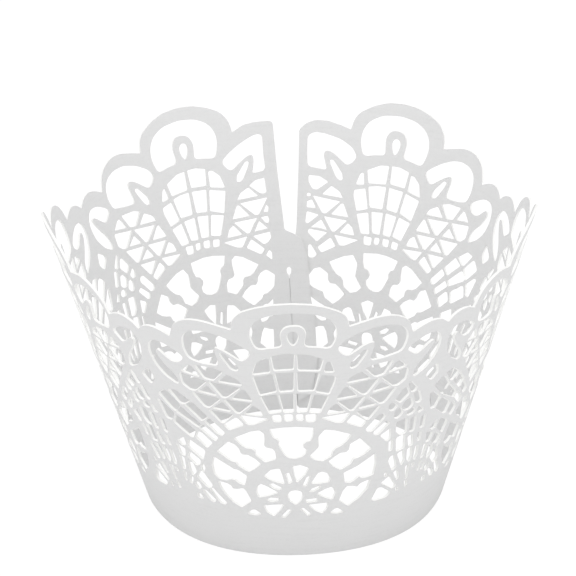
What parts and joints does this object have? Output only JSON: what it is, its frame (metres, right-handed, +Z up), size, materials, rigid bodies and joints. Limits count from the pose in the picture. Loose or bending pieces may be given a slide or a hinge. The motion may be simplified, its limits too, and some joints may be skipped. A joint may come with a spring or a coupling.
{
  "type": "cupcake wrapper",
  "caption": "Open conical cupcake wrapper of white pearl card, with a scalloped rim and laser-cut lace of wheels, shell grids and triangle lattice, closed at the back by tabs.",
  "frame": {"origin": "middle of the bounding box, on the plane of the foot edge", "axes": "+Z up from the narrow foot to the scalloped rim, -Y towards the front, where the middle of one wheel is, +Y towards the seam"},
  "size_m": [0.078, 0.0828, 0.0512],
  "materials": {
    "pearl_card": "satin pearl"
  },
  "bodies": {
    "root": {"wrapper": "pearl_card"}
  },
  "joints": []
}
